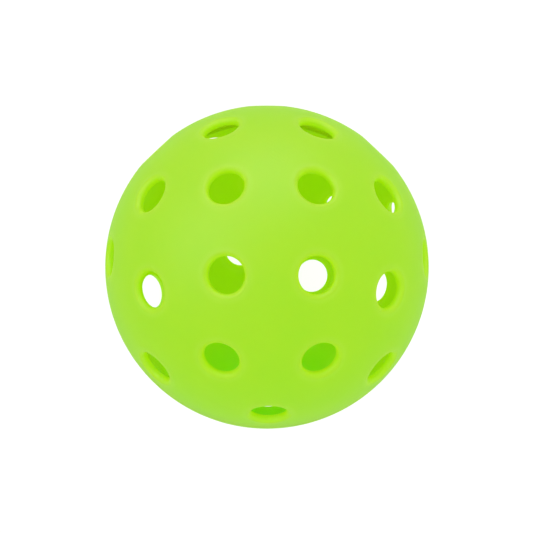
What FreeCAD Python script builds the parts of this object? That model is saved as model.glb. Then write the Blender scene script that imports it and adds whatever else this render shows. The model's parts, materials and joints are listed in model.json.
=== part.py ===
import FreeCAD, Part
import math
import os

from FreeCAD import Vector

# A perforated plastic court ball, moulded as two half shells and welded together round its equator.
#
# Frame: millimetres, origin at the ball's centre, +Z from the seam plane to the upper half's pole.
# Both halves come from one mould pattern. The lower one is turned over and twisted about Z before it is
# welded on, so the holes on the two sides of the seam don't stand opposite each other.

# The ball.
BALL_DIAMETER = 74.0
WALL = 1.8

# The air holes: straight bores with rounded rims.
HOLE_DIAMETER = 8.0
HOLE_OUTER_ROUND = 1.0
HOLE_INNER_ROUND = 0.3

# Each ring of holes: its angle from the pole, how many holes it has, and the azimuth of its first hole.
POLAR_RING = (22.0, 4, 45.0)
MIDDLE_RING = (49.8, 8, 22.5)
SEAM_RING = (75.5, 8, 0.0)
LOWER_HALF_TWIST = -21.0

# The seam: a lap joint in the middle of the wall, and the bead of melt pressed out of it on the inside.
LAP_LENGTH = 1.4
LAP_CLEARANCE = 0.05
LAP_END_GAP = 0.15
SEAM_CHAMFER = 0.15
BEAD_DIAMETER = 1.1

# Worked out from the dimensions above.
OUTER_RADIUS = BALL_DIAMETER / 2
INNER_RADIUS = OUTER_RADIUS - WALL
LAP_RADIUS = (OUTER_RADIUS + INNER_RADIUS) / 2
HOLE_RADIUS = HOLE_DIAMETER / 2

POLE = Vector(0, 0, 1)
CENTRE = Vector(0, 0, 0)
LENGTH_MATCH = 1e-4


def profile_point(radius, height):
    """A point of a revolved outline: its distance from the Z axis, and its height."""
    return Vector(radius, 0, height)


def point_on_sphere(radius, height):
    """The point at that height on the outline of a sphere."""
    return profile_point(math.sqrt(radius ** 2 - height ** 2), height)


def sphere_arc(radius, start, end):
    """The arc of a sphere's outline between two of its points."""
    middle = (start + end).normalize() * radius
    return Part.Arc(start, middle, end).toShape()


def straight_edges(points):
    """Straight edges from each point to the next."""
    return [Part.LineSegment(a, b).toShape() for a, b in zip(points, points[1:])]


def clear_azimuth():
    """An azimuth between the holes of the upper half, where its revolved faces can start and end."""
    rim_angle = math.degrees((HOLE_RADIUS + HOLE_OUTER_ROUND) / OUTER_RADIUS)
    seam_polar, _, seam_first = SEAM_RING
    middle_polar, _, middle_first = MIDDLE_RING
    after_seam_hole = seam_first + rim_angle / math.sin(math.radians(seam_polar))
    before_middle_hole = middle_first - rim_angle / math.sin(math.radians(middle_polar))
    return (after_seam_hole + before_middle_hole) / 2


def half_shell(side, lap_outline, azimuth):
    """A half shell with no holes, above (side 1) or below (side -1) the seam plane.

    The lap outline runs from the lip's outer edge to the inner sphere.
    """
    pole_outside = profile_point(0, side * OUTER_RADIUS)
    pole_inside = profile_point(0, side * INNER_RADIUS)
    chamfer_top = point_on_sphere(OUTER_RADIUS, side * SEAM_CHAMFER)
    outline = [sphere_arc(OUTER_RADIUS, pole_outside, chamfer_top)]
    outline += straight_edges([chamfer_top] + lap_outline)
    outline.append(sphere_arc(INNER_RADIUS, lap_outline[-1], pole_inside))
    outline += straight_edges([pole_inside, pole_outside])
    solid = Part.Face(Part.Wire(Part.__sortEdges__(outline))).revolve(CENTRE, POLE, 360)
    solid.rotate(CENTRE, POLE, azimuth)
    return solid


def spigot_outline():
    """The upper half's edge: a flat lip, and a spigot that reaches down inside the lower half."""
    return [
        profile_point(OUTER_RADIUS - SEAM_CHAMFER, 0),
        profile_point(LAP_RADIUS, 0),
        profile_point(LAP_RADIUS, -LAP_LENGTH),
        point_on_sphere(INNER_RADIUS, -LAP_LENGTH),
    ]


def rebate_outline():
    """The lower half's edge: a flat lip, and a rebate that takes the spigot."""
    ledge = -LAP_LENGTH - LAP_END_GAP
    return [
        profile_point(OUTER_RADIUS - SEAM_CHAMFER, 0),
        profile_point(LAP_RADIUS + LAP_CLEARANCE, 0),
        profile_point(LAP_RADIUS + LAP_CLEARANCE, ledge),
        point_on_sphere(INNER_RADIUS, ledge),
    ]


def upper_directions():
    """Unit vectors from the centre to each hole of the upper half."""
    directions = []
    for polar, count, first in (POLAR_RING, MIDDLE_RING, SEAM_RING):
        tilt = math.radians(polar)
        for number in range(count):
            azimuth = math.radians(first + number * 360 / count)
            across = math.sin(tilt)
            directions.append(Vector(across * math.cos(azimuth), across * math.sin(azimuth), math.cos(tilt)))
    return directions


def turned_over(direction):
    """Where a direction of the upper half goes when its moulding is turned over about X, then twisted."""
    flipped = Vector(direction.x, -direction.y, -direction.z)
    return FreeCAD.Rotation(POLE, LOWER_HALF_TWIST).multVec(flipped)


def drill(direction):
    """The cylinder that cuts one hole through the wall."""
    start = direction * (INNER_RADIUS - HOLE_RADIUS)
    return Part.makeCylinder(HOLE_RADIUS, WALL + 2 * HOLE_RADIUS, start, direction)


def hole_rims(shape, sphere_radius):
    """The closed edges where the bores meet a sphere about the ball's centre."""
    circumference = 2 * math.pi * HOLE_RADIUS
    rims = []
    for edge in shape.Edges:
        if edge.Degenerated or abs(edge.Length - circumference) > LENGTH_MATCH:
            continue
        if abs(edge.valueAt(edge.FirstParameter).Length - sphere_radius) < LENGTH_MATCH:
            rims.append(edge)
    return rims


def perforate(shell, directions):
    """Cuts the holes, then rounds their outer and inner rims."""
    drilled = shell.cut([drill(direction) for direction in directions])
    outer_rounded = drilled.makeFillet(HOLE_OUTER_ROUND, hole_rims(drilled, OUTER_RADIUS))
    return outer_rounded.makeFillet(HOLE_INNER_ROUND, hole_rims(outer_rounded, INNER_RADIUS))


def weld_bead(upper, lower):
    """The ring of melt along the inside of the lap joint, which fills the gap under the spigot."""
    gap_height = -LAP_LENGTH - LAP_END_GAP / 2
    gap_radius = point_on_sphere(INNER_RADIUS, gap_height).x
    ring = Part.makeTorus(gap_radius, BEAD_DIAMETER / 2, POLE * gap_height, POLE)
    return ring.cut([upper, lower])


def main():
    os.makedirs("parts", exist_ok=True)
    upper = half_shell(1, spigot_outline(), clear_azimuth())
    lower = half_shell(-1, rebate_outline(), LOWER_HALF_TWIST - clear_azimuth())
    nodes = {
        "upper_half_shell": perforate(upper, upper_directions()),
        "lower_half_shell": perforate(lower, [turned_over(direction) for direction in upper_directions()]),
        "seam_weld_bead": weld_bead(upper, lower),
    }
    for name, shape in nodes.items():
        state = "valid" if shape.isValid() else "NOT VALID"
        print(f"{name}: {len(shape.Solids)} solid, {len(shape.Faces)} faces, {shape.Volume:.1f} mm3, {state}")
        shape.exportStep(f"parts/{name}.step")


main()
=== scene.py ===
import bmesh
import bpy
import json
import math
from mathutils import Euler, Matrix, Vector

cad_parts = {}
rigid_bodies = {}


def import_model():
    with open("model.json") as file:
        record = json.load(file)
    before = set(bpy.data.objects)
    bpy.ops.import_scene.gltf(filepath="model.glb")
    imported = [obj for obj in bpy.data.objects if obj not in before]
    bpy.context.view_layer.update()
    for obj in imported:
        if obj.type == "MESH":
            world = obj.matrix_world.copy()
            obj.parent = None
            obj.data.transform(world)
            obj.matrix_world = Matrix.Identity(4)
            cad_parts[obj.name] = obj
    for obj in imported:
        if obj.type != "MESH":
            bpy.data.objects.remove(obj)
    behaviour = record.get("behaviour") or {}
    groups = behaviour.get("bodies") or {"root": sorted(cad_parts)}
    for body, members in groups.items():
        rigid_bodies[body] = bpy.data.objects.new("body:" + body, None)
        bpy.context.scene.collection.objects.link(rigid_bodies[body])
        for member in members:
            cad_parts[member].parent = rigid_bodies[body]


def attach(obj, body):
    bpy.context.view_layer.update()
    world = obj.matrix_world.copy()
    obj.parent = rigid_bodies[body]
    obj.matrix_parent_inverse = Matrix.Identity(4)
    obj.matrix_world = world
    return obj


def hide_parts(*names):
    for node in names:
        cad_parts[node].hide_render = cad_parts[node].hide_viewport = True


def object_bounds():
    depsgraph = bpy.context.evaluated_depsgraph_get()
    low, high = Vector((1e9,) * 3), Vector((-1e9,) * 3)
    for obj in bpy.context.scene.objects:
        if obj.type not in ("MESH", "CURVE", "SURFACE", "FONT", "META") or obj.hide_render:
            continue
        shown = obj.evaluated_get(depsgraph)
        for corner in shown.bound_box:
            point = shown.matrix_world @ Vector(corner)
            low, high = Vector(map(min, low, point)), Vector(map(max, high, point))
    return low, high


for leftover in list(bpy.data.objects):
    bpy.data.objects.remove(leftover)
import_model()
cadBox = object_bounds()
scene = bpy.context.scene
mm = 0.001  # sizes are written in millimetres and kept in metres
touching = 0.002 * mm  # points nearer than this are one point
hair = 0.01  # a share that counts as none

lowCorner, highCorner = cadBox
ballCentre = (highCorner + lowCorner) / 2
ballRadius = (highCorner.z - lowCorner.z) / 2


class Field:  # a value inside a node tree, so that formulas read as formulas
    def __init__(self, socket):
        self.socket = socket
        self.isVector = socket.type == "VECTOR"

    def run(self, operation, *others):
        kind = "ShaderNodeVectorMath" if self.isVector else "ShaderNodeMath"
        node = self.socket.id_data.nodes.new(kind)
        node.operation = operation
        feed(self, node.inputs[0])
        if operation == "SCALE":
            feed(others[0], node.inputs["Scale"])
        elif others:
            feed(others[0], node.inputs[1])
        return Field(node.outputs["Value" if operation in ("DOT_PRODUCT", "LENGTH") else 0])

    def __add__(self, other):
        return self.run("ADD", other)

    def __sub__(self, other):
        return self.run("SUBTRACT", other)

    def __mul__(self, other):
        return self.run("SCALE" if self.isVector else "MULTIPLY", other)

    def __truediv__(self, other):
        return self.run("DIVIDE", other)

    def __neg__(self):
        return self * -1.0

    def sin(self):
        return self.run("SINE")

    def cos(self):
        return self.run("COSINE")

    def root(self):
        return self.run("SQRT")

    def unit(self):
        return self.run("NORMALIZE")

    def dot(self, other):
        return self.run("DOT_PRODUCT", other)

    def above(self, limit):
        return self.run("GREATER_THAN", limit)

    def below(self, limit):
        return self.run("LESS_THAN", limit)

    def atMost(self, limit):
        return self.run("MINIMUM", limit)


def feed(value, slot):  # links a field or a socket, or sets a plain value
    if isinstance(value, Field):
        value = value.socket
    if isinstance(value, bpy.types.NodeSocket):
        slot.id_data.links.new(value, slot)
    else:
        slot.default_value = value


def add(tree, kind, inputs=None, **settings):  # adds a node, sets it and feeds it
    node = tree.nodes.new(kind)
    for name, value in settings.items():
        setattr(node, name, value)
    for key, value in (inputs or {}).items():
        feed(value, node.inputs[key])
    return node


def startTree(name, kind, inputs, outputs):  # a tree with named sockets, each given with its kind
    tree = bpy.data.node_groups.new(name, kind)
    for label, socketKind in inputs.items():
        tree.interface.new_socket(label, in_out="INPUT", socket_type="NodeSocket" + socketKind)
    for label, socketKind in outputs.items():
        tree.interface.new_socket(label, in_out="OUTPUT", socket_type="NodeSocket" + socketKind)
    entry = tree.nodes.new("NodeGroupInput")
    return tree, {label: Field(entry.outputs[label]) for label in inputs}


def finishTree(tree, **results):
    add(tree, "NodeGroupOutput", results)
    return tree


def vector(tree, x, y, z):
    return Field(add(tree, "ShaderNodeCombineXYZ", {"X": x, "Y": y, "Z": z}).outputs[0])


def split(tree, value):
    parts = add(tree, "ShaderNodeSeparateXYZ", {0: value})
    return [Field(output) for output in parts.outputs]


# Soft noise from 0 to 1, with patches of about that size; another seed gives another pattern.
def noise(tree, spot, size, seed, detail=2.0):
    inputs = {"Vector": spot, "W": seed, "Scale": size.run("POWER", -1.0), "Detail": detail}
    return Field(add(tree, "ShaderNodeTexNoise", inputs, noise_dimensions="4D").outputs[0])


def blendColours(tree, share, first, second):  # the Mix node's colours go in at 6 and 7 and come out at 2
    inputs = {"Factor": share, 6: first, 7: second}
    return add(tree, "ShaderNodeMix", inputs, data_type="RGBA").outputs[2]


print("stage 1: the finishes")


def makeSatinSkin():  # the fine grain and slow swell of a moulded surface
    inputs = {
        "Position": "Vector", "Grain Size": "Float", "Swell Size": "Float", "Swell Share": "Float",
        "Roughness": "Float", "Roughness Spread": "Float",
    }
    outputs = {"Height": "Float", "Roughness": "Float"}
    tree, value = startTree("satinSkin", "ShaderNodeTree", inputs, outputs)
    grain = noise(tree, value["Position"], value["Grain Size"], seed=1.0, detail=3.0)
    swell = noise(tree, value["Position"], value["Swell Size"], seed=2.0)
    blotches = noise(tree, value["Position"], value["Swell Size"], seed=3.0)
    spread = (grain + blotches - 1.0) * value["Roughness Spread"]
    height = grain + swell * value["Swell Share"]
    return finishTree(tree, Height=height, Roughness=value["Roughness"] + spread)


def makeResinFlow():  # how unevenly the colour is spread through the resin
    inputs = {
        "Position": "Vector", "Deep Resin": "Color", "Pale Resin": "Color", "Patch Size": "Float",
        "Streak": "Float",
    }
    tree, value = startTree("resinFlow", "ShaderNodeTree", inputs, {"Colour": "Color"})
    x, y, z = split(tree, value["Position"])
    stretched = vector(tree, x, y, z * value["Streak"])
    clouds = noise(tree, stretched, value["Patch Size"], seed=4.0, detail=3.0)
    spread = {"Value": clouds, "From Min": 0.3, "From Max": 0.7}  # soft noise seldom leaves this range
    share = add(tree, "ShaderNodeMapRange", spread).outputs[0]
    return finishTree(tree, Colour=blendColours(tree, share, value["Deep Resin"], value["Pale Resin"]))


satinSkin = makeSatinSkin()
resinFlow = makeResinFlow()


def satinPlastic(name, finish):  # a translucent satin plastic: its tree, its shader and its uneven colour
    material = bpy.data.materials.new(name)
    material.use_nodes = True
    tree = material.node_tree
    spot = tree.nodes.new("ShaderNodeTexCoord").outputs["Object"]
    skinLabels = ("Grain Size", "Swell Size", "Swell Share", "Roughness", "Roughness Spread")
    skinValues = {label: finish[label] for label in skinLabels}
    skin = add(tree, "ShaderNodeGroup", {"Position": spot, **skinValues}, node_tree=satinSkin)
    flowLabels = ("Deep Resin", "Pale Resin", "Patch Size", "Streak")
    flowValues = {label: finish[label] for label in flowLabels}
    flow = add(tree, "ShaderNodeGroup", {"Position": spot, **flowValues}, node_tree=resinFlow)
    relief = {"Height": skin.outputs["Height"], "Distance": finish["Grain Depth"]}
    bump = add(tree, "ShaderNodeBump", relief)
    shader = tree.nodes["Principled BSDF"]
    feed(skin.outputs["Roughness"], shader.inputs["Roughness"])
    feed(bump.outputs["Normal"], shader.inputs["Normal"])
    shader.inputs["IOR"].default_value = finish["IOR"]
    shader.inputs["Specular IOR Level"].default_value = finish["Specular"]
    shader.inputs["Subsurface Weight"].default_value = finish["Translucence"]
    shader.inputs["Subsurface Radius"].default_value = finish["Scatter Colours"]
    shader.inputs["Subsurface Scale"].default_value = finish["Scatter Depth"]
    # a painted glow: the same faint light all over, standing in for light carried through the translucent
    # plastic
    shader.inputs["Emission Color"].default_value = finish["Painted Glow"]
    shader.inputs["Emission Strength"].default_value = 1.0
    return material, tree, shader, flow.outputs["Colour"]


shellFinish = {
    "Deep Resin": (0.40, 0.865, 0.0006, 1),
    "Pale Resin": (0.43, 0.885, 0.0012, 1),
    "Patch Size": 14 * mm,
    "Streak": 1.6,  # above 1, the patches are drawn out round the ball's axis
    # painted light: a pale ring round each hole's rim, standing in for light coming through the thin
    # plastic there
    "Painted Rim Light": (0.48, 0.93, 0.06, 1),
    "Rim Reach": 1.4 * mm,  # from the bore's wall to the middle of the pale ring
    "Rim Width": 0.6 * mm,
    "Rim Strength": 0.22,
    "Roughness": 0.48,
    "Roughness Spread": 0.08,
    "Grain Size": 0.4 * mm,
    "Grain Depth": 0.012 * mm,
    "Swell Size": 6 * mm,
    "Swell Share": 4.0,  # how many times higher than the grain the swell is
    "IOR": 1.5,
    "Specular": 0.45,
    "Translucence": 1.0,
    "Scatter Colours": (1.0, 1.0, 0.3),
    "Scatter Depth": 7 * mm,
    "Painted Glow": (0.066, 0.083, 0.0, 1),  # a painted glow, the same everywhere, standing in for light carried through the translucent plastic
    "Inner Light": (0.094, 0.083, 0.0, 1),  # the painted glow inside the ball, on its bright side
    "Inner Shade": (0.0, 0.083, 0.0, 1),  # painted shade inside the ball: a dimmer, greener glow on the side away from the back panel
    "Bright Side": Vector((0.0, 0.8, 0.6)),
    "Shade Start": 22 * mm,  # how far from the middle the inner shade begins
    "Shade Reach": 12 * mm,  # and how much further it is full
    "Glow Depth": 1.8 * mm,  # this far below the outside, the glow is the inner one
    "Edge Light": (0.105, 0.15, 0.0, 1),  # painted light on the walls of the holes, standing in for light coming through the thin plastic there
    "Edge Width": 0.5 * mm,
}


def makeShellPlastic():  # the shells' plastic, with painted light on the holes' walls and a painted pale ring round their rims
    material, tree, shader, colour = satinPlastic("shellPlastic", shellFinish)
    fromBore = Field(add(tree, "ShaderNodeAttribute", attribute_name="fromBore").outputs["Fac"])

    def fade(centre, width):
        away = (fromBore - centre) / width
        return (-(away * away)).run("EXPONENT")

    # painted light: the base colour turns pale in a ring round each rim
    pale = fade(shellFinish["Rim Reach"], shellFinish["Rim Width"]) * shellFinish["Rim Strength"]
    feed(blendColours(tree, pale, colour, shellFinish["Painted Rim Light"]), shader.inputs["Base Color"])
    # painted light: the emission turns to Edge Light at the bores' walls
    edge = fade(0.0, shellFinish["Edge Width"])
    # painted light and shade inside the ball: below Glow Depth the glow dims and turns greener towards the
    # side away from the back panel
    spot = Field(tree.nodes.new("ShaderNodeTexCoord").outputs["Object"])
    height = spot.dot(shellFinish["Bright Side"]) + shellFinish["Shade Start"]
    bright = height / shellFinish["Shade Reach"] + 1.0
    inner = blendColours(tree, bright, shellFinish["Inner Shade"], shellFinish["Inner Light"])
    depth = (-spot.run("LENGTH") + ballRadius) / shellFinish["Glow Depth"]
    glow = blendColours(tree, depth, shellFinish["Painted Glow"], inner)
    light = blendColours(tree, edge, glow, shellFinish["Edge Light"])
    feed(light, shader.inputs["Emission Color"])
    return material


weldFinish = {
    **shellFinish,
    "Deep Resin": (0.33, 0.73, 0.003, 1),
    "Patch Size": 3 * mm,
    "Roughness": 0.34,
    "Grain Size": 0.9 * mm,
    "Grain Depth": 0.02 * mm,
}


def makeWeldPlastic():  # the same plastic, melted again and so glossier and more uneven
    material, tree, shader, colour = satinPlastic("weldPlastic", weldFinish)
    feed(colour, shader.inputs["Base Color"])
    return material


shellPlastic = makeShellPlastic()
weldPlastic = makeWeldPlastic()

print("stage 2: the node trees")

moulding = {  # both half shells come from it
    "Ball Radius": ballRadius,
    "Wall": 1.8 * mm,
    "Bore Radius": 4.0 * mm,
    "Outer Round": 1.0 * mm,
    "Inner Round": 0.3 * mm,
    "Seam Chamfer": 0.15 * mm,
    "Detail": 4,  # how many times each side and spoke of a cell is halved
    "Round Share": 0.4375,  # how much of each spoke is spent on the rounded rim
    "Seam Band": 0.2,  # below this share of the height, cells stretch to meet the seam
    "Sharp Angle": math.radians(40),
}
# Each ring of holes: its degrees from the pole, how many holes it has, and the azimuth of its first hole.
holeRings = ((22.0, 4, 45.0), (49.8, 8, 22.5), (75.5, 8, 0.0))
upperEdge = {"Lap Radius": 36.1 * mm, "Lap Height": -1.4 * mm, "Turn": (0.0, 0.0, 0.0)}
lowerEdge = {"Lap Radius": 36.15 * mm, "Lap Height": 1.55 * mm, "Turn": (math.pi, 0.0, math.radians(-21))}


def join(tree, parts):
    joined = tree.nodes.new("GeometryNodeJoinGeometry")
    for part in reversed(parts):
        feed(part, joined.inputs[0])
    return joined.outputs[0]


def position(tree):
    return Field(tree.nodes.new("GeometryNodeInputPosition").outputs[0])


def keep(tree, geometry, name, value, domain="POINT", selection=True):  # stores a value on the geometry
    kind = "FLOAT_VECTOR" if isinstance(value, Field) and value.isVector else "FLOAT"
    inputs = {"Geometry": geometry, "Selection": selection, "Name": name, "Value": value}
    return add(tree, "GeometryNodeStoreNamedAttribute", inputs, data_type=kind, domain=domain).outputs[0]


def kept(tree, name, kind="FLOAT"):  # reads a stored value
    node = add(tree, "GeometryNodeInputNamedAttribute", {"Name": name}, data_type=kind)
    return Field(node.outputs["Attribute"])


def drop(tree, faces, selection):
    inputs = {"Geometry": faces, "Selection": selection}
    return add(tree, "GeometryNodeDeleteGeometry", inputs, domain="FACE").outputs[0]


def move(tree, geometry, spot):
    return add(tree, "GeometryNodeSetPosition", {"Geometry": geometry, "Position": spot}).outputs[0]


def withMaterial(tree, geometry, material):  # the end of every tree: real geometry with its material
    real = add(tree, "GeometryNodeRealizeInstances", {0: geometry}).outputs[0]
    coated = add(tree, "GeometryNodeSetMaterial", {"Geometry": real, "Material": material}).outputs[0]
    return finishTree(tree, Geometry=coated)


def holeDirections(tree):  # one point on the unit sphere for each hole of a moulding
    clouds = []
    for polar, count, first in holeRings:
        index = Field(tree.nodes.new("GeometryNodeInputIndex").outputs[0])
        azimuth = index * (2 * math.pi / count) + math.radians(first)
        across, height = math.sin(math.radians(polar)), math.cos(math.radians(polar))
        spot = vector(tree, azimuth.cos() * across, azimuth.sin() * across, height)
        clouds.append(add(tree, "GeometryNodePoints", {"Count": count, "Position": spot}).outputs[0])
    return join(tree, clouds)


# Divides the half sphere into a cell round each hole, and each cell into spokes and rings.
def makeCellTree():
    inputs = {"Detail": "Int"}
    tree, size = startTree("cellsRoundHoles", "GeometryNodeTree", inputs, {"Geometry": "Geometry"})
    holes = holeDirections(tree)
    mirrored = add(tree, "GeometryNodeTransform", {"Geometry": holes, "Scale": (1, 1, -1)}).outputs[0]
    hull = add(tree, "GeometryNodeConvexHull", {0: join(tree, [holes, mirrored])}).outputs[0]
    cells = add(tree, "GeometryNodeDualMesh", {0: hull}).outputs[0]
    x, y, z = split(tree, position(tree))
    offSeam = z.run("ABSOLUTE").above(hair)  # corners that are nearly on the seam go right onto it
    cells = move(tree, cells, vector(tree, x, y, z * offSeam).unit())
    cells = drop(tree, cells, split(tree, position(tree))[2].below(0.0))

    nearest = add(tree, "GeometryNodeSampleNearest", {"Geometry": holes}, domain="POINT").outputs[0]
    inputs = {"Geometry": holes, "Value": position(tree), "Index": nearest}
    sampler = add(tree, "GeometryNodeSampleIndex", inputs, data_type="FLOAT_VECTOR")
    cells = keep(tree, cells, "holeAxis", Field(sampler.outputs[0]), domain="FACE")
    cells = keep(tree, cells, "cellEdge", position(tree))
    cells = keep(tree, cells, "reach", 1.0)
    inputs = {"Mesh": cells, "Offset Scale": 0.0, "Individual": True}
    grown = add(tree, "GeometryNodeExtrudeMesh", inputs, mode="FACES")
    spokes = keep(tree, grown.outputs["Mesh"], "reach", 0.0, selection=grown.outputs["Top"])
    spokes = drop(tree, spokes, grown.outputs["Top"])
    fine = add(tree, "GeometryNodeSubdivideMesh", {"Mesh": spokes, "Level": size["Detail"]}).outputs[0]
    return finishTree(tree, Geometry=fine)


# Bends the cells into one face of a moulding: a sphere whose holes have rounded rims.
def makeSkinTree(cells):
    inputs = {
        "Radius": "Float", "Bore Radius": "Float", "Round": "Float", "Inside": "Float",
        "Seam Height": "Float", "Round Share": "Float", "Seam Band": "Float", "Detail": "Int",
    }
    tree, size = startTree("skinWithRoundedHoles", "GeometryNodeTree", inputs, {"Geometry": "Geometry"})
    radius, bore, rounding, inside = size["Radius"], size["Bore Radius"], size["Round"], size["Inside"]
    reach = kept(tree, "reach")
    axis = kept(tree, "holeAxis", "FLOAT_VECTOR").unit()
    edge = kept(tree, "cellEdge", "FLOAT_VECTOR").unit()
    outward = (edge - axis * edge.dot(axis)).unit()

    # the rounded rim: an arc from the bore's wall to the sphere
    middleOut = bore + rounding
    middleReach = radius + rounding * (inside * 2.0 - 1.0)
    middleUp = (middleReach * middleReach - middleOut * middleOut).root()
    lean = middleUp.run("ARCTAN2", middleOut)
    sweep = lean - (-inside + 1.0) * math.pi
    along = (reach / size["Round Share"]).atMost(1.0)
    angle = sweep * along + math.pi
    rimSpot = outward * (middleOut + rounding * angle.cos()) + axis * (middleUp + rounding * angle.sin())

    # from the rim to the cell's edge, which stretches to the seam's height
    x, y, z = split(tree, edge)
    share = (z / size["Seam Band"]).atMost(1.0)
    newZ = z + size["Seam Height"] / radius * (-share + 1.0)
    widen = ((-(newZ * newZ) + 1.0) / (-(z * z) + 1.0)).root()
    edgeSpot = vector(tree, x * widen, y * widen, newZ)
    rimEnd = (outward * middleOut + axis * middleUp).unit()
    blend = (reach - size["Round Share"]) / (-size["Round Share"] + 1.0)
    flatSpot = (rimEnd + (edgeSpot - rimEnd) * blend).unit() * radius

    onSphere = reach.above(size["Round Share"])
    inputs = {"Switch": onSphere, "False": rimSpot, "True": flatSpot}
    chosen = add(tree, "GeometryNodeSwitch", inputs, input_type="VECTOR")
    blank = add(tree, "GeometryNodeGroup", {"Detail": size["Detail"]}, node_tree=cells)
    skin = move(tree, blank.outputs[0], chosen.outputs[0])
    spot = position(tree)
    sideways = (spot - axis * spot.dot(axis)).run("LENGTH")
    farOff = (reach - size["Round Share"]) * bore  # counts where cells meet and two axes are mixed
    fromBore = (sideways - bore).run("MAXIMUM", farOff)
    return finishTree(tree, Geometry=keep(tree, skin, "fromBore", fromBore))


def boreEnd(radius, bore, rounding, side):  # how far out from the ball's centre a bore's straight wall ends
    middleReach = radius + rounding * side
    middleOut = bore + rounding
    return (middleReach * middleReach - middleOut * middleOut).root()


# A whole half shell: both faces, the walls of its bores, and the lap at its seam.
def makeShellTree(skin):
    inputs = {label: "Float" for label in ("Lap Radius", "Lap Height", *moulding)}
    inputs.update({"Detail": "Int", "Turn": "Rotation", "Material": "Material"})
    tree, size = startTree("perforatedHalfShell", "GeometryNodeTree", inputs, {"Geometry": "Geometry"})
    innerRadius = size["Ball Radius"] - size["Wall"]
    shared = {label: size[label] for label in ("Bore Radius", "Round Share", "Seam Band", "Detail")}

    def face(radius, rounding, inside, seamHeight):
        own = {"Radius": radius, "Round": rounding, "Inside": inside, "Seam Height": seamHeight}
        return add(tree, "GeometryNodeGroup", {**own, **shared}, node_tree=skin).outputs[0]

    outer = face(size["Ball Radius"], size["Outer Round"], 0.0, size["Seam Chamfer"])
    inner = face(innerRadius, size["Inner Round"], 1.0, size["Lap Height"])
    inner = add(tree, "GeometryNodeFlipFaces", {0: inner}).outputs[0]

    # the walls of the bores
    reach = kept(tree, "reach")
    axis = kept(tree, "holeAxis", "FLOAT_VECTOR").unit()
    top = boreEnd(size["Ball Radius"], size["Bore Radius"], size["Outer Round"], -1.0)
    bottom = boreEnd(innerRadius, size["Bore Radius"], size["Inner Round"], 1.0)
    down = axis * (bottom - top)
    inputs = {"Mesh": outer, "Selection": reach.below(hair), "Offset": down, "Offset Scale": 1.0}
    walled = add(tree, "GeometryNodeExtrudeMesh", inputs, mode="EDGES").outputs["Mesh"]

    # the lap: a chamfer, a flat lip, the spigot's or rebate's wall, and its foot
    chamfer = size["Seam Chamfer"]
    lapHeight = size["Lap Height"]
    seamHeight = chamfer * 0.0
    steps = [
        ((size["Ball Radius"] * size["Ball Radius"] - chamfer * chamfer).root(), chamfer),
        (size["Ball Radius"] - chamfer, seamHeight),
        (size["Lap Radius"], seamHeight),
        (size["Lap Radius"], lapHeight),
        ((innerRadius * innerRadius - lapHeight * lapHeight).root(), lapHeight),
    ]
    x, y, z = split(tree, position(tree))
    away = vector(tree, x, y, 0.0).unit()
    faces = Field(tree.nodes.new("GeometryNodeInputMeshEdgeNeighbors").outputs[0])
    mesh, selection = walled, faces.below(1.5) * reach.above(1.0 - hair)  # the open edges along the seam
    for (fromRadius, fromHeight), (toRadius, toHeight) in zip(steps, steps[1:]):
        offset = away * (toRadius - fromRadius) + vector(tree, 0.0, 0.0, toHeight - fromHeight)
        inputs = {"Mesh": mesh, "Selection": selection, "Offset": offset, "Offset Scale": 1.0}
        grown = add(tree, "GeometryNodeExtrudeMesh", inputs, mode="EDGES")
        mesh, selection = grown.outputs["Mesh"], grown.outputs["Top"]

    inputs = {"Geometry": join(tree, [mesh, inner]), "Distance": touching}
    whole = add(tree, "GeometryNodeMergeByDistance", inputs).outputs[0]
    bend = Field(tree.nodes.new("GeometryNodeInputMeshEdgeAngle").outputs[0])
    inputs = {"Geometry": whole, "Shade Smooth": bend.below(size["Sharp Angle"])}
    smooth = add(tree, "GeometryNodeSetShadeSmooth", inputs, domain="EDGE").outputs[0]
    turned = add(tree, "GeometryNodeTransform", {"Geometry": smooth, "Rotation": size["Turn"]}).outputs[0]
    return withMaterial(tree, turned, size["Material"])


innerWall = moulding["Ball Radius"] - moulding["Wall"]
beadHeight = -1.475 * mm
beadSunk = 0.02 * mm  # how far the bead's flat back is pressed into the wall
bead = {  # the melt that the weld presses out along the inside of the lap
    "Ring Radius": math.sqrt(innerWall ** 2 - beadHeight ** 2) + beadSunk,
    "Height": beadHeight,
    "Bead Radius": 0.55 * mm,
    "Lean": math.asin(beadHeight / innerWall),
    "Unevenness": 0.3,
    "Lump Size": 5 * mm,
    "Steps Round": 480,
    "Steps Across": 9,
    "Seed": 3.0,
}


def makeBeadTree():
    inputs = {label: "Float" for label in bead}
    inputs.update({"Steps Round": "Int", "Steps Across": "Int", "Material": "Material"})
    tree, size = startTree("weldBead", "GeometryNodeTree", inputs, {"Geometry": "Geometry"})
    circle = {"Resolution": size["Steps Round"], "Radius": size["Ring Radius"]}
    ring = add(tree, "GeometryNodeCurvePrimitiveCircle", circle).outputs["Curve"]
    lift = vector(tree, 0.0, 0.0, size["Height"])
    ring = add(tree, "GeometryNodeSetPosition", {"Geometry": ring, "Offset": lift}).outputs[0]
    ring = add(tree, "GeometryNodeSetCurveNormal", {"Curve": ring}, mode="Z_UP").outputs[0]
    arc = {
        "Resolution": size["Steps Across"], "Radius": size["Bead Radius"],
        "Start Angle": size["Lean"] + math.pi / 2, "Sweep Angle": math.pi,
    }
    profile = add(tree, "GeometryNodeCurveArc", arc).outputs["Curve"]
    profile = add(tree, "GeometryNodeSetSplineCyclic", {0: profile, "Cyclic": True}).outputs[0]
    lumps = noise(tree, position(tree), size["Lump Size"], size["Seed"])
    thickness = -(lumps * size["Unevenness"]) + 1.0
    inputs = {"Curve": ring, "Profile Curve": profile, "Scale": thickness}
    tube = add(tree, "GeometryNodeCurveToMesh", inputs).outputs[0]
    return withMaterial(tree, tube, size["Material"])


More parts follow.
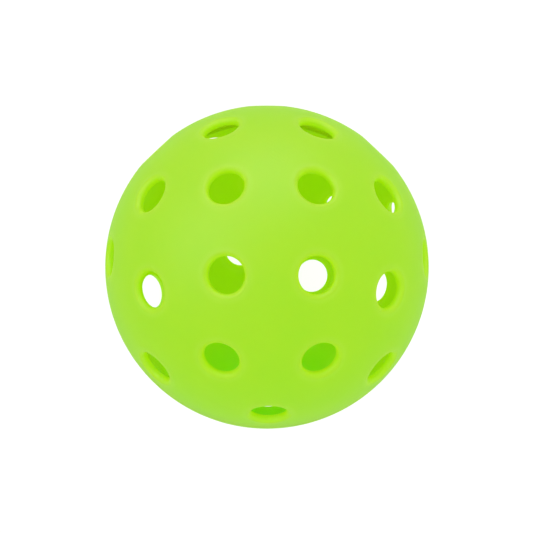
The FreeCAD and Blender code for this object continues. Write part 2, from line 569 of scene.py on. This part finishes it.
def makeByNodes(name, tree, values, material):  # runs a tree and keeps its result as a plain mesh
    carrier = bpy.data.objects.new(name, bpy.data.meshes.new(name + "Blank"))
    scene.collection.objects.link(carrier)
    modifier = carrier.modifiers.new("build", "NODES")
    modifier.node_group = tree
    for item in tree.interface.items_tree:
        if item.in_out == "INPUT":
            modifier[item.identifier] = material if item.name == "Material" else values[item.name]
    bpy.context.view_layer.update()
    evaluated = carrier.evaluated_get(bpy.context.evaluated_depsgraph_get())
    mesh = bpy.data.meshes.new_from_object(evaluated)
    mesh.name = name
    carrier.modifiers.remove(modifier)
    carrier.data = mesh
    for used in ("reach", "holeAxis", "cellEdge"):
        if used in mesh.attributes:
            mesh.attributes.remove(mesh.attributes[used])
    shape = bmesh.new()
    shape.from_mesh(mesh)
    bmesh.ops.recalc_face_normals(shape, faces=shape.faces)
    openEdges = sum(1 for edge in shape.edges if len(edge.link_faces) != 2)
    volume = shape.calc_volume() / mm ** 3
    print(f"  {name}: {len(shape.faces)} faces, {openEdges} open edges, {volume:.1f} mm3")
    shape.to_mesh(mesh)
    shape.free()
    return carrier


def settle(piece, node):  # the piece stands for its CAD node, on the ball's one body
    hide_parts(node)
    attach(piece, "root")


print("stage 3: the pieces")
shellTree = makeShellTree(makeSkinTree(makeCellTree()))
upperShell = makeByNodes("upperShell", shellTree, {**moulding, **upperEdge}, shellPlastic)
settle(upperShell, "upper_half_shell")
lowerShell = makeByNodes("lowerShell", shellTree, {**moulding, **lowerEdge}, shellPlastic)
settle(lowerShell, "lower_half_shell")
weldBead = makeByNodes("weldBead", makeBeadTree(), bead, weldPlastic)
settle(weldBead, "seam_weld_bead")

print("stage 4: the studio")

floor = {
    "Size": 6.0,
    "Colour": (0.2, 0.2, 0.2, 1),
    "Seen Glow": (0.93, 0.93, 0.915, 1),  # how brightly the table glows when it is looked at
    "Cast Glow": (0.30, 0.52, 0.43, 1),  # and what it throws back on the ball, after the ball has tinted it
    "Roughness": 0.7,
}


def makeFloor():  # a pale table that glows softly, and that can be looked through from below
    material = bpy.data.materials.new("paleTable")
    material.use_nodes = True
    tree = material.node_tree
    shader = tree.nodes["Principled BSDF"]
    shader.inputs["Base Color"].default_value = floor["Colour"]
    shader.inputs["Roughness"].default_value = floor["Roughness"]
    shader.inputs["Specular IOR Level"].default_value = 0.0
    looking = tree.nodes.new("ShaderNodeLightPath").outputs["Is Camera Ray"]
    glow = blendColours(tree, looking, floor["Cast Glow"], floor["Seen Glow"])
    feed(glow, shader.inputs["Emission Color"])
    shader.inputs["Emission Strength"].default_value = 1.0
    below = tree.nodes.new("ShaderNodeNewGeometry").outputs["Backfacing"]
    clear = tree.nodes.new("ShaderNodeBsdfTransparent").outputs[0]
    mixed = add(tree, "ShaderNodeMixShader", {0: below, 1: shader.outputs[0], 2: clear})
    feed(mixed.outputs[0], tree.nodes["Material Output"].inputs["Surface"])
    half = floor["Size"] / 2
    corners = [(x * half, y * half, lowCorner.z) for x, y in ((-1, -1), (1, -1), (1, 1), (-1, 1))]
    mesh = bpy.data.meshes.new("table")
    mesh.from_pydata(corners, [], [(0, 1, 2, 3)])
    mesh.materials.append(material)
    table = bpy.data.objects.new("table", mesh)
    scene.collection.objects.link(table)


panels = {
    "Size": 0.8,
    "Colour": (1.0, 1.0, 1.0),
    "Places": {"backPanel": Vector((0.0, 0.72, 0.6)), "sidePanel": Vector((-0.64, 0.1, 0.68))},
    "Powers": {"backPanel": 3.8, "sidePanel": 3.0},
}


def makePanel(name, place, power):  # a soft panel aimed at the ball, mirrored in its satin skin
    light = bpy.data.lights.new(name, "AREA")
    light.size = panels["Size"]
    light.energy = power
    light.color = panels["Colour"]
    panel = bpy.data.objects.new(name, light)
    panel.location = place
    panel.rotation_euler = (ballCentre - place).to_track_quat("-Z", "Y").to_euler()
    panel.visible_camera = False
    panel.visible_diffuse = False
    scene.collection.objects.link(panel)


room = {
    "Towards Window": Vector((-0.3, 0.95, 0.0)),
    "Window Side": (0.87, 0.82, 0.93, 1),
    "Dim Side": (0.71, 0.78, 0.73, 1),
}


def makeRoom():  # a pale room, a little brighter and less green on the window's side
    world = bpy.data.worlds.new("paleRoom")
    world.use_nodes = True
    tree = world.node_tree
    direction = Field(tree.nodes.new("ShaderNodeTexCoord").outputs["Generated"])
    share = direction.dot(room["Towards Window"].normalized()) * 0.5 + 0.5
    colour = blendColours(tree, share, room["Dim Side"], room["Window Side"])
    feed(colour, tree.nodes["Background"].inputs["Color"])
    scene.world = world
    scene.view_settings.view_transform = "Standard"


viewpoint = {
    "Distance": 404.4 * mm,
    "Lens": 118.95,
    "Shift": (-0.00085, 0.0008),
    "Tilt": math.radians(13.08),  # back from looking straight down
    "Lean": math.radians(-1.58),
    "Roll": math.radians(0.06),
}


def makeCamera():
    camera = bpy.data.objects.new("camera", bpy.data.cameras.new("camera"))
    camera.data.lens = viewpoint["Lens"]
    camera.data.shift_x, camera.data.shift_y = viewpoint["Shift"]
    camera.rotation_mode = "YXZ"
    camera.rotation_euler = Euler((viewpoint["Tilt"], viewpoint["Lean"], viewpoint["Roll"]), "YXZ")
    back = camera.rotation_euler.to_matrix() @ Vector((0, 0, 1))
    camera.location = ballCentre + back * viewpoint["Distance"]
    scene.collection.objects.link(camera)
    scene.camera = camera


makeFloor()
for name, place in panels["Places"].items():
    makePanel(name, place, panels["Powers"][name])
makeRoom()
makeCamera()
